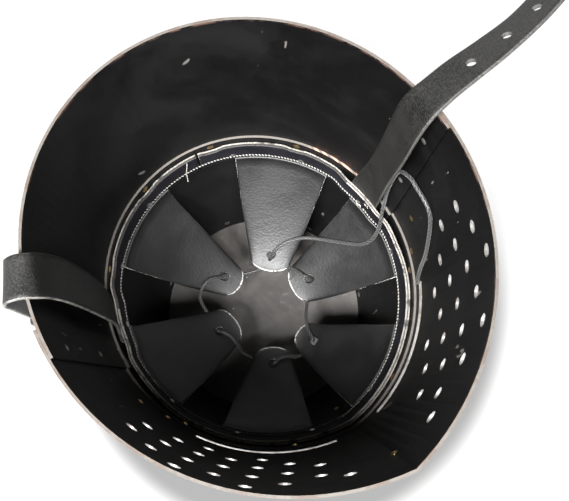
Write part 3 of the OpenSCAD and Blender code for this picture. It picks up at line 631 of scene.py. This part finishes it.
def cut_hole(obj, place, axis, radius, edge_index=1):
    """Cuts a round hole, in millimetres, and marks its wall as a cut edge."""
    bm = bmesh.new()
    bmesh.ops.create_cone(bm, cap_ends=True, segments=28, radius1=radius * MM, radius2=radius * MM,
                          depth=9 * MM)
    centre = Vector(np.asarray(place) * MM)
    turn_to = Vector(axis).to_track_quat("Z", "Y").to_matrix().to_4x4()
    bm.transform(Matrix.Translation(centre) @ turn_to)
    subtract(obj, bm)
    way = Vector(axis).normalized()
    for f in obj.data.polygons:
        off = f.center - centre
        out = (off - way * off.dot(way)).length
        if off.length < 5 * MM and abs(out - radius * MM) < 0.12 * MM and abs(f.normal.dot(way)) < 0.3:
            f.material_index = edge_index


# Liner band: two layers with raw edges, sewn together
BAND_EASE = 0.35
BAND_LIP = 0.3
GROOVE_HALF = 0.28
GROOVE_DEEP = 0.7
SEAM_Z = 114.0
BAND_STILL = 120.0
BAND_RAISE = 2.2
BROW_RIVETS = (131, 165, -131, -165)


def band_profile():
    """Depth from the outer face, height and the mark of the face that follows: 0 leather, 1 raw edge,
    2 the groove between the two layers."""
    mid = BAND_T / 2
    foot = BAND_LOW + 0.4
    shoulder = BAND_HIGH - BAND_EASE
    brink = BAND_HIGH - 0.05
    return [(BAND_EASE, BAND_LOW, 0), (0.0, foot, 0), (0.0, SEAM_Z, 0), (0.0, BAND_STILL, 0),
            (0.0, shoulder, 1), (BAND_LIP, BAND_HIGH, 1), (mid - GROOVE_HALF, brink, 2),
            (mid, BAND_HIGH - GROOVE_DEEP, 2), (mid + GROOVE_HALF, brink, 1),
            (BAND_T - BAND_LIP, BAND_HIGH, 1), (BAND_T, shoulder, 0), (BAND_T, BAND_STILL, 0),
            (BAND_T, SEAM_Z, 0), (BAND_T, foot, 0), (BAND_T - BAND_EASE, BAND_LOW, 1)]


INNER_EDGE = (8, 9)


def band_raise(a):
    """How far the band's upper edge stands above the plain one, at the back, dipping by the rivets."""
    back = clamp((75 - abs(wrap(a - 185))) / 20)
    dip = min(clamp((abs(wrap(a - r)) - 2.0) / 2.5) for r in BROW_RIVETS)
    return BAND_RAISE * back * dip


def build_band():
    profile = band_profile()
    turns = 240
    start = BAND_JOIN + 0.5
    span = 359.0
    points, marks = [], []
    size = len(profile)
    for i in range(turns + 1):
        a = start + span * i / turns
        ripple = 0.18 * math.sin(math.radians(a * 7)) + 0.12 * math.sin(math.radians(a * 17 + 40))
        for depth, z, _ in profile:
            lift = ripple + band_raise(a) if z > BAND_STILL else 0.0
            points.append(band_face(a, z + lift, depth))
    for i in range(turns):
        worn = math.cos(math.radians(start + span * i / turns - 175)) > 0.35
        marks += [2 if worn and j in INNER_EDGE else profile[j][2] for j in range(size)]
    marks += [1, 1]
    groove = raw_edge_material("band_groove", (0.01, 0.01, 0.01), (0.05, 0.045, 0.04))
    piece("liner_band_leather", points, tube_faces(turns + 1, size), [band_leather, cream_edge, groove],
          marks, replaces=["liner_band"])


build_band()

# Petals, with their angles and root spans in degrees. The tip leans to one side by lean
Petal = collections.namedtuple("Petal", "angle span reach tip_half lean to_hole lift")
PETALS = {
    "petal_back_right": Petal(136, 40.5, 72, 14, -1.5, 12, 3),
    "petal_right": Petal(81.5, 40.5, 69, 14, 0, 15, -1.5),
    "petal_front_right": Petal(22.8, 37.5, 64, 10.5, -4, 15, 0),
    "petal_front_left": Petal(-31, 36.5, 64, 13, 6, 13, 0),
    "petal_left": Petal(-88.5, 40.5, 71, 14, 0, 15, 0),
    "petal_back_left": Petal(-153.2, 38, 77, 11, -3.5, 14, 0),
}
PETAL_SEAT = 0.15
PETAL_RISE = 5.0
PETAL_SOFTEN = 1.0
TIP_ROUND = 7.0
LACE_HOLE_R = 3.0


def petal_root(a, z):
    return wall(a, z, -BAND_INSET - swelling(a) - BAND_T - PETAL_SEAT - PETAL_T / 2)


def petal_side(p):
    """The level direction across a petal."""
    t = math.radians(p.angle)
    return np.array([math.cos(t), math.sin(t), 0])


def petal_axis(p, d):
    """Place on a petal's middle line at a distance from its tip, seen from above."""
    root = petal_root(p.angle, BAND_LOW)
    tip = math.hypot(root[0], root[1]) - p.reach
    return at(p.angle, tip + d, 0) + petal_side(p) * p.lean


def petal_point(p, x, f):
    """Place on a petal, x from -1 to 1 across and f from 0 at the tip to 1 at the root."""
    side = petal_side(p)
    end = petal_axis(p, TIP_ROUND * (1 - math.sqrt(1 - min(1.0, x * x)))) + side * p.tip_half * x
    root = petal_root(p.angle + x * p.span / 2, BAND_LOW)
    z = PETAL_TIP_Z + p.lift + (BAND_LOW - PETAL_TIP_Z - p.lift) * f ** 1.5
    return np.array([end[0] + (root[0] - end[0]) * f, end[1] + (root[1] - end[1]) * f, z])


def build_petal(name, p):
    rows, cols = 26, 29
    across = [math.sin((j / (cols - 1) - 0.5) * math.pi) for j in range(cols)]
    grid = [[petal_point(p, x, (i / (rows - 1)) ** 1.25) for x in across] for i in range(rows)]
    for rise in (1.7, 3.4, PETAL_RISE):
        grid.append([petal_root(p.angle + x * p.span / 2, BAND_LOW + rise) for x in across])
    points, faces, marks = slab(np.array(grid), PETAL_T, PETAL_SOFTEN, dark_end=True)
    obj = piece(name + "_leather", points, faces, [petal_leather, petal_edge, strap_inside], marks,
                replaces=[name])
    hole = petal_axis(p, p.to_hole) + np.array([0, 0, PETAL_TIP_Z + 4])
    cut_hole(obj, hole, (0, 0, 1), LACE_HOLE_R)


for name, values in PETALS.items():
    build_petal(name, values)

# Lace: its own points, one braided cord
LACE_D = 2.6
BRAID_PITCH = 7.0
LACE = [
    (87.5, -61, 144.5), (92.5, -55, 157), (97.5, -49, 183), (105.5, -34.5, 211.5), (108, -14.5, 215.5),
    (108.5, -6.5, 212.5), (107.5, 0, 202), (104.5, 0, 165.5), (102, -3.5, 137), (99.5, -6, 130.5),
    (97, -9, 127.2), (94.8, -11.3, 122.5), (93.2, -12.6, 115), (91, -13.5, 108.8), (86.7, -14, 103.4),
    (80.6, -11, 96), (73.5, -3.2, 89), (62.5, 10.5, 77.5), (53, 19.5, 72.5), (43.5, 24.5, 68.5),
    (35, 26, 66), (28.5, 25.5, 62.5), (26, 25, 59), (26.5, 22.5, 55), (29, 17.5, 53.5), (33, 11.5, 51.5),
    (36, 3, 57.5), (37.5, -2, 59.5),
    (38.5, -3.5, 59.5), (39.5, -6, 56.5), (39, -8, 53.5), (36, -14, 50.5), (29, -20, 48), (22, -28, 53.5),
    (17.5, -37.5, 56.5), (16.5, -44, 60), (15.5, -45.5, 61.5), (16, -48, 58.5), (13.5, -48, 55),
    (7.5, -50.5, 53), (0.5, -50, 51), (-6.5, -46, 56.5), (-13, -43.5, 59), (-17, -44.5, 60),
    (-19.5, -44, 57.5), (-21, -42.5, 54.5), (-29, -32, 49.5), (-33, -23.5, 50.5), (-33, -15.5, 57),
    (-34.5, -7.5, 60), (-37.5, -3, 60.5), (-38.5, -1, 57.5), (-39, 1, 54.5), (-38, 10, 51.5),
    (-38.5, 20, 54.5), (-36.5, 28.5, 60), (-29.5, 33.5, 64.5), (-22, 34.5, 64), (-14.5, 32, 60),
    (-12, 32, 56.5), (-9.5, 31, 52.5), (-6, 30, 50.5), (1, 26.5, 49.5), (10.5, 23, 50), (20, 20.5, 50.5)]


def even_path(points, step):
    """Points a step apart along the smooth curve through the given ones."""
    k = np.array(points, float)
    fine = np.array([spline(k, u) for u in np.linspace(0, len(k) - 1, (len(k) - 1) * 40 + 1)])
    run = np.concatenate([[0], np.cumsum(np.linalg.norm(np.diff(fine, axis=0), axis=1))])
    marks = np.linspace(0, run[-1], int(run[-1] / step) + 1)
    return np.stack([np.interp(marks, run, fine[:, i]) for i in range(3)], 1), run[-1]


def frames_along(path):
    """A pair of axes across the path at each point, carried along without twist."""
    ways = np.gradient(path, axis=0)
    ways /= np.linalg.norm(ways, axis=1)[:, None]
    u = unit(np.cross(ways[0], [0.3, 0.1, 1]))
    out = []
    for w in ways:
        u = unit(u - w * (u @ w))
        out.append((u, np.cross(w, u)))
    return out


def build_lace():
    path, length = even_path(LACE, 0.42)
    sides = 16
    points, strand = [], []
    last = len(path) - 1
    for i, (p, (u, v)) in enumerate(zip(path, frames_along(path))):
        along = 4 * math.pi * length * i / last / BRAID_PITCH
        close = min(1.0, 0.35 + min(i, last - i) * 0.3)
        for k in range(sides):
            t = 2 * math.pi * k / sides
            top = max(math.cos(4 * t + along), math.cos(4 * t - along))
            r = (LACE_D / 2 - 0.1 + 0.1 * top) * close
            points.append(p + u * r * math.cos(t) + v * r * math.sin(t))
            # How high each point stands on its strand; the braid's painted sheen follows it
            strand.append(0.5 + 0.5 * top)
    obj = piece("lace", points, tube_faces(last + 1, sides), [braid],
                replaces=["liner_lace"])
    mark = obj.data.attributes.new("strand", "FLOAT", "POINT")
    mark.data.foreach_set("value", strand)


build_lace()

# Straps: angle, height, inset and twist inside the helm; angle, out, up and twist over the rim
ROOT_INSET = 3.6 + STRAP_T / 2
LONG_INSIDE = [(LONG_ROOT, 106.5, ROOT_INSET, 0), (LONG_ROOT, 122, ROOT_INSET, 0), (96.8, 139, 7, -6),
               (95.3, 171, 8.5, -20), (93.9, 214, 11.5, -24), (93, 255, 12.6, -20), (93, 288, 11.5, -20)]
LONG_OVER = [(92.9, -5, 6, -30), (93.1, 5, 10.2, -35), (93.3, 20, 10.4, -36), (93.4, 41.5, 8.5, -41),
             (94, 68, 4.5, -48), (95.3, 96, -1.6, -51), (96, 118, -7.7, -52)]
SHORT_INSIDE = [(SHORT_ROOT, 106.5, ROOT_INSET, 0), (SHORT_ROOT, 122, ROOT_INSET, 0), (-112, 138, 7.5, 4),
                (-113.3, 158, 10.3, 8), (-113.6, 190, 13.3, 3), (-114, 230, 14.1, 0),
                (-114.1, 266, 13.3, 0), (-113.6, 290, 10.8, 5)]
FLAP_LEAN = (outline(SHORT_ROOT, *RIM) - outline(SHORT_ROOT, *BROW)) / (rim_h(SHORT_ROOT) - BROW_Z)
SHORT_OVER = [(-113, -7.1, 6.5, 8), (-113.2, -1, 9, 11), (-113.1, 6, 5.6, 11),
              (-113.1, 9.3 - 6 * FLAP_LEAN, -6, 6), (-112.6, 5.6 - 28 * FLAP_LEAN, -28, 3)]
TIP_LEN = 13.0
STRAP_SAG = 0.35
STRAP_HOLES = 4
FIRST_HOLE = 21.5
HOLE_PITCH = 26.0
STRAP_HOLE_R = 3.0


def strap_knots(inside, over):
    """The strap's knots as x, y, z and twist."""
    k = [np.append(wall(a, z, -inset), twist) for a, z, inset, twist in inside]
    k += [np.append(at(a, outline(a, *RIM) + out, rim_h(a) + up), twist) for a, out, up, twist in over]
    return np.array(k)


def strap_frame(k, u):
    """Place on the strap's middle line and its three directions: along, across and through."""
    p = spline(k, u)
    t = unit((spline(k, u + 0.05) - spline(k, u - 0.05))[:3])
    a = math.degrees(math.atan2(p[0], -p[1]))
    e = at(a + 90, 1, 0)
    flat = unit(e - t * (e @ t))
    n = np.cross(t, flat)
    c, s = math.cos(math.radians(p[3])), math.sin(math.radians(p[3]))
    w = flat * c + n * s
    return p[:3], t, w, np.cross(t, w)


def strap_row(f, along=0.0, half=STRAP_W / 2, hug=0.0, sag=0.0, cols=9):
    """Middle points across a strap, bent to the wall by hug and cupped by sag."""
    p, t, w, n = f
    row = []
    for j in range(cols):
        x = 2 * j / (cols - 1) - 1
        bend = hug * (x * half) ** 2 / (2 * BROW[0]) + sag * (x * x - 0.4)
        row.append(p + t * along + w * x * half + n * bend)
    return row


def place_at(k, u, d, step=0.02):
    """Where on the knots' curve a distance beyond u has been passed."""
    while d > 0 and u < len(k) - 1:
        d -= np.linalg.norm((spline(k, u + step) - spline(k, u))[:3])
        u += step
    return u


def build_long_strap():
    k = strap_knots(LONG_INSIDE, LONG_OVER)
    hinge = len(LONG_INSIDE) + 1
    last = len(k) - 1
    rows = [strap_row(strap_frame(k, u), hug=clamp(2 - u), sag=STRAP_SAG)
            for u in np.linspace(0, last, last * 9 + 1)]
    tip = strap_frame(k, last)
    for s in (0.2, 0.4, 0.6, 0.75, 0.86, 0.94, 0.98, 1.0):
        half = STRAP_W / 2 * math.sqrt(1.02 - s * s)
        rows.append(strap_row(tip, s * TIP_LEN, half, sag=STRAP_SAG * (1 - s)))
    points, faces, marks = slab(np.array(rows), STRAP_T)
    obj = piece("long_strap", points, faces, [strap_leather, worn_edge, strap_inside], marks, body=None,
                replaces=["long_strap_root", "long_strap_tail"])
    for i in range(STRAP_HOLES):
        p, _, _, n = strap_frame(k, place_at(k, hinge, FIRST_HOLE + i * HOLE_PITCH))
        cut_hole(obj, p, n, STRAP_HOLE_R)
    p, t = strap_frame(k, hinge)[:2]
    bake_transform(obj)


build_long_strap()

BAR_IN = 1.6
BAR_Y = -(BAR_IN + STRAP_T / 2)
RETURN_LEN = 27.0
RETURN_SLOPE = 8.0
RETURN_Y = -(STRAP_T + 0.1)
SLOT_HALF = 2.5
SLOT_UP = 6.8
SLOT_BEYOND = 12.0
FLAP_START = 5.0


def flap_side():
    """The flap seen from the side, as (out, down): straight, round the buckle's bar and back."""
    side = [(0.0, z) for z in np.linspace(FLAP_START, FLAP_LEN, 22)]
    for a in np.linspace(0, math.pi, 13)[1:]:
        side.append((BAR_Y - BAR_Y * math.cos(a), FLAP_LEN - BAR_Y * math.sin(a)))
    low = 2 * BAR_Y
    for s in np.linspace(0, 1, 6)[1:]:
        side.append((low + (RETURN_Y - low) * s * s * (3 - 2 * s), FLAP_LEN - RETURN_SLOPE * s))
    back = np.linspace(FLAP_LEN - RETURN_SLOPE - 3, FLAP_LEN - RETURN_LEN, 6)
    return side + [(RETURN_Y, z) for z in back]


def build_short_strap():
    """The fold over the rim, which bends at the hinge, and the flap below it, which swings."""
    k = strap_knots(SHORT_INSIDE, SHORT_OVER)
    hinge = len(SHORT_INSIDE) + 3
    mats = [strap_leather, strap_edge, strap_inside]
    rows = [strap_row(strap_frame(k, u), hug=clamp(2 - u), sag=0.3 * clamp((hinge - u) / 2))
            for u in np.linspace(0, hinge, hinge * 8 + 1)]
    f = strap_frame(k, hinge)
    p, t, w, n = f
    rows += [strap_row(f, z) for z in (FLAP_START / 2, FLAP_START)]
    points, faces, marks = slab(np.array(rows), STRAP_T)
    fold = piece("short_strap", points, faces, mats, marks, body=None,
                 replaces=["short_strap_root"])
    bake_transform(fold)
    rows = [strap_row((p + n * y, t, w, n), z) for y, z in flap_side()]
    points, faces, marks = slab(np.array(rows), STRAP_T)
    flap = piece("strap_flap_leather", points, faces, mats, marks, body="strap_flap",
                 replaces=["short_strap_flap"])
    cut_slot(flap, f)


def cut_slot(obj, f):
    """Slot in the fold for the prong."""
    p, t, w, n = f
    bm = bmesh.new()
    bmesh.ops.create_cube(bm, size=1.0)
    tall = SLOT_UP + SLOT_BEYOND
    size = Matrix.Diagonal((2 * SLOT_HALF * MM, 30 * MM, tall * MM, 1))
    axes = Matrix((tuple(w), tuple(n), tuple(t))).transposed().to_4x4()
    middle = p + t * (FLAP_LEN - SLOT_UP + tall / 2)
    bm.transform(Matrix.Translation(Vector(middle * MM)) @ axes @ size)
    if axes.determinant() < 0:
        bmesh.ops.reverse_faces(bm, faces=bm.faces)
    subtract(obj, bm)


build_short_strap()

KEEPER_T = 1.6
KEEPER_W = 8.0
KEEPER_UP = 8.5
KEEPER_GAP = 0.3
KEEPER_ROUND = 1.4
# Its section as shares of the thickness and the width, with softened corners
KEEPER_SECTION = [(-0.5, 0.06), (-0.3, 0.0), (0.3, 0.0), (0.5, 0.06),
                  (0.5, 0.94), (0.3, 1.0), (-0.3, 1.0), (-0.5, 0.94)]


def build_keeper():
    """Leather loop round both layers of the flap, with room for the long strap's end."""
    k = strap_knots(SHORT_INSIDE, SHORT_OVER)
    p, t, w, n = strap_frame(k, len(SHORT_INSIDE) + 3)
    r = KEEPER_ROUND
    half = STRAP_W / 2 + KEEPER_GAP + KEEPER_T / 2 - r
    high = STRAP_T * 1.5 + 2 * KEEPER_GAP + KEEPER_T / 2 - r
    low = RETURN_Y - STRAP_T / 2 - KEEPER_GAP - KEEPER_T / 2 + r
    ring = []
    for i, (x, y) in enumerate(((half, high), (-half, high), (-half, low), (half, low))):
        for a in np.radians(np.linspace(90 * i, 90 * i + 90, 5)):
            ring.append(np.array([x + r * math.cos(a), y + r * math.sin(a)]))
    start = FLAP_LEN - KEEPER_UP - KEEPER_W
    points, faces = [], []
    count, size = len(ring), len(KEEPER_SECTION)
    for i in range(count):
        tangent = unit(ring[(i + 1) % count] - ring[i - 1])
        out = np.array([tangent[1], -tangent[0]])
        for off, along in KEEPER_SECTION:
            x, y = ring[i] + out * off * KEEPER_T
            points.append(p + w * x + n * y + t * (start + along * KEEPER_W))
    for i in range(count):
        m = (i + 1) % count
        for j in range(size):
            q = (j + 1) % size
            faces.append((i * size + j, i * size + q, m * size + q, m * size + j))
    piece("keeper", points, faces, [strap_leather], body="strap_flap",
          replaces=["strap_keeper"])


build_keeper()


# Stitching round the band, over the petals' roots
STITCH_PITCH_DEG = 1.35
STITCH_LEN = 2.0
STITCH_R = 0.5
SEAM_START = 98.5
SEAM_SPAN = 356


def stitch(points, faces, centre, way, up):
    """One plump stitch: a short spindle along its way."""
    side = np.cross(way, up)
    rings, sides = 5, 6
    faces += tube_faces(rings, sides, len(points))
    for i in range(rings):
        s = i / (rings - 1)
        swell = math.sin(math.pi * s)
        r = STITCH_R * (0.35 + 0.65 * swell)
        middle = centre + way * (s - 0.5) * STITCH_LEN + up * STITCH_R * 0.5 * swell
        for k in range(sides):
            t = 2 * math.pi * k / sides
            points.append(middle + up * r * math.sin(t) + side * r * math.cos(t))


def build_seam():
    points, faces = [], []
    rng = random.Random(4)
    a = SEAM_START
    while a < SEAM_START + SEAM_SPAN:
        z = SEAM_Z + 0.25 * math.sin(math.radians(a * 5)) + rng.uniform(-0.12, 0.12)
        centre = band_face(a, z, BAND_T + STITCH_R)
        along = unit(band_face(a + 1, z, BAND_T + STITCH_R) - centre)
        up = unit(np.array([0, 0, 0.5]) - at(a, 1, 0))
        stitch(points, faces, centre, unit(along + np.cross(along, up) * 0.45), up)
        a += STITCH_PITCH_DEG
    piece("liner_seam", points, faces, [cream_thread])


build_seam()


def thread(name, radius, knots):
    """A loose end of sewing thread, twisted from two strands. Knots are places on the band: angle,
    height and depth."""
    path = even_path([band_face(*k) for k in knots], 0.5)[0]
    sides = 8
    points = []
    last = len(path) - 1
    for i, (p, (u, v)) in enumerate(zip(path, frames_along(path))):
        close = min(1.0, 0.4 + min(i, last - i) * 0.4)
        for k in range(sides):
            t = 2 * math.pi * k / sides
            r = radius * close * (0.82 + 0.18 * math.cos(2 * t + i * 0.9))
            points.append(p + u * r * math.cos(t) + v * r * math.sin(t))
    piece(name, points, tube_faces(last + 1, sides), [cream_thread])


thread("thread_end", 0.5, [(175.6, 126.3, 1.8), (176.0, 126.0, 3.3), (176.6, 121.5, 3.6),
                           (177.3, 116.5, 3.6), (178.0, 110, 3.7), (178.6, 104, 4.2)])
thread("thread_knot", 0.55, [(98.6, 115.5, 3.4), (97.2, 113.2, 4.0), (96.0, 114.6, 3.8),
                             (95.2, 112.4, 3.7), (93.9, 112.8, 3.5)])
thread("thread_tick_a", 0.5, [(94.9, 121.6, 3.2), (94.2, 123.0, 3.7), (93.4, 121.4, 3.2)])
thread("thread_tick_b", 0.5, [(93.0, 124.6, 3.2), (92.7, 122.8, 3.7), (92.2, 121.2, 3.2)])

# Floor, world and lamps
FLOOR_REACH = 6.0
# Middle and fade, in metres, of the painted shadow round the helm's foot
SHADE_MIDDLE = (0.016, -0.01, 0)
SHADE_FADE = (0.165, 0.215)


def looked_at(add):
    """1 for the rays that show the background: from the camera, off gloss and through glass."""
    ray = add("ShaderNodeLightPath").outputs
    clear = math_node(add, "MAXIMUM", ray["Is Glossy Ray"], ray["Is Transmission Ray"])
    return math_node(add, "MAXIMUM", ray["Is Camera Ray"], clear)


def floor_white():
    """White floor that keeps the helm's shadow, with a painted shadow that darkens it close round its foot.
    """
    m, add = material("floor_white")
    place = object_place(add)
    grain = noise(add, place, 40, 3)
    off = add("ShaderNodeVectorMath", {0: place, 1: SHADE_MIDDLE}, operation="SUBTRACT").outputs[0]
    spread = add("ShaderNodeVectorMath", {0: off}, operation="LENGTH").outputs["Value"]
    clear_of_painted_shadow = remap(add, spread, *SHADE_FADE)
    color = mix_color(add, grain, (0.86, 0.86, 0.86, 1), (0.9, 0.9, 0.9, 1))
    # Painted shadow round the foot: the paint turns near black and the glow weakens close to it
    color = mix_color(add, clear_of_painted_shadow, (0.02, 0.02, 0.02, 1), color)
    paint = add("ShaderNodeBsdfPrincipled", {"Base Color": color, "Roughness": 0.9})
    glow = add("ShaderNodeEmission", {"Color": (1, 1, 1, 1), "Strength": 1.0})
    seen = math_node(add, "MULTIPLY", looked_at(add), mix_value(add, clear_of_painted_shadow, 0.38, 0.93))
    both = add("ShaderNodeMixShader", {0: seen, 1: paint.outputs[0], 2: glow.outputs[0]})
    add("ShaderNodeOutputMaterial", {"Surface": both.outputs[0]})
    return m


def build_floor():
    data = bpy.data.meshes.new("floor")
    r = FLOOR_REACH
    data.from_pydata([(-r, -r, 0), (r, -r, 0), (r, r, 0), (-r, r, 0)], [], [(0, 1, 2, 3)])
    data.materials.append(floor_white())
    floor = bpy.data.objects.new("floor", data)
    bpy.context.scene.collection.objects.link(floor)


def build_world():
    """Dim fill from the key lamp's side. Low down it is white for the rays that show it."""
    world = bpy.data.worlds.new("world")
    add = adder(world)
    way = add("ShaderNodeTexCoord").outputs["Generated"]
    strength = remap(add, dot(add, way, (-0.77, -0.55, 0.33)), -0.5, 0.8, 0.03, 0.05)
    fill = add("ShaderNodeBackground", {"Color": (0.95, 0.97, 1, 1), "Strength": strength})
    white = add("ShaderNodeBackground", {"Color": (1, 1, 1, 1), "Strength": 1.0})
    low = add("ShaderNodeMapRange", {"Value": height_of(add, way), "From Min": 0.35, "From Max": 0.6,
              "To Min": 1.0, "To Max": 0.0}).outputs["Result"]
    share = math_node(add, "MULTIPLY", looked_at(add), low)
    both = add("ShaderNodeMixShader", {0: share, 1: fill.outputs[0], 2: white.outputs[0]})
    add("ShaderNodeOutputWorld", {"Surface": both.outputs[0]})
    bpy.context.scene.world = world


build_floor()
build_world()


def lamp(name, place, target, size, power):
    data = bpy.data.lights.new(name, "AREA")
    data.shape = "DISK"
    data.size = size
    data.energy = power
    obj = bpy.data.objects.new(name, data)
    bpy.context.scene.collection.objects.link(obj)
    obj.location = place
    obj.rotation_mode = "QUATERNION"
    obj.rotation_quaternion = (Vector(target) - Vector(place)).to_track_quat("-Z", "Y")


lamp("key", (-0.82, -0.3, 1.75), (0, 0, 0.1), 0.6, 160)
lamp("side", (-0.12, -0.82, 1.75), (0, 0, 0.1), 0.5, 50)

bpy.context.scene.view_settings.view_transform = "Standard"
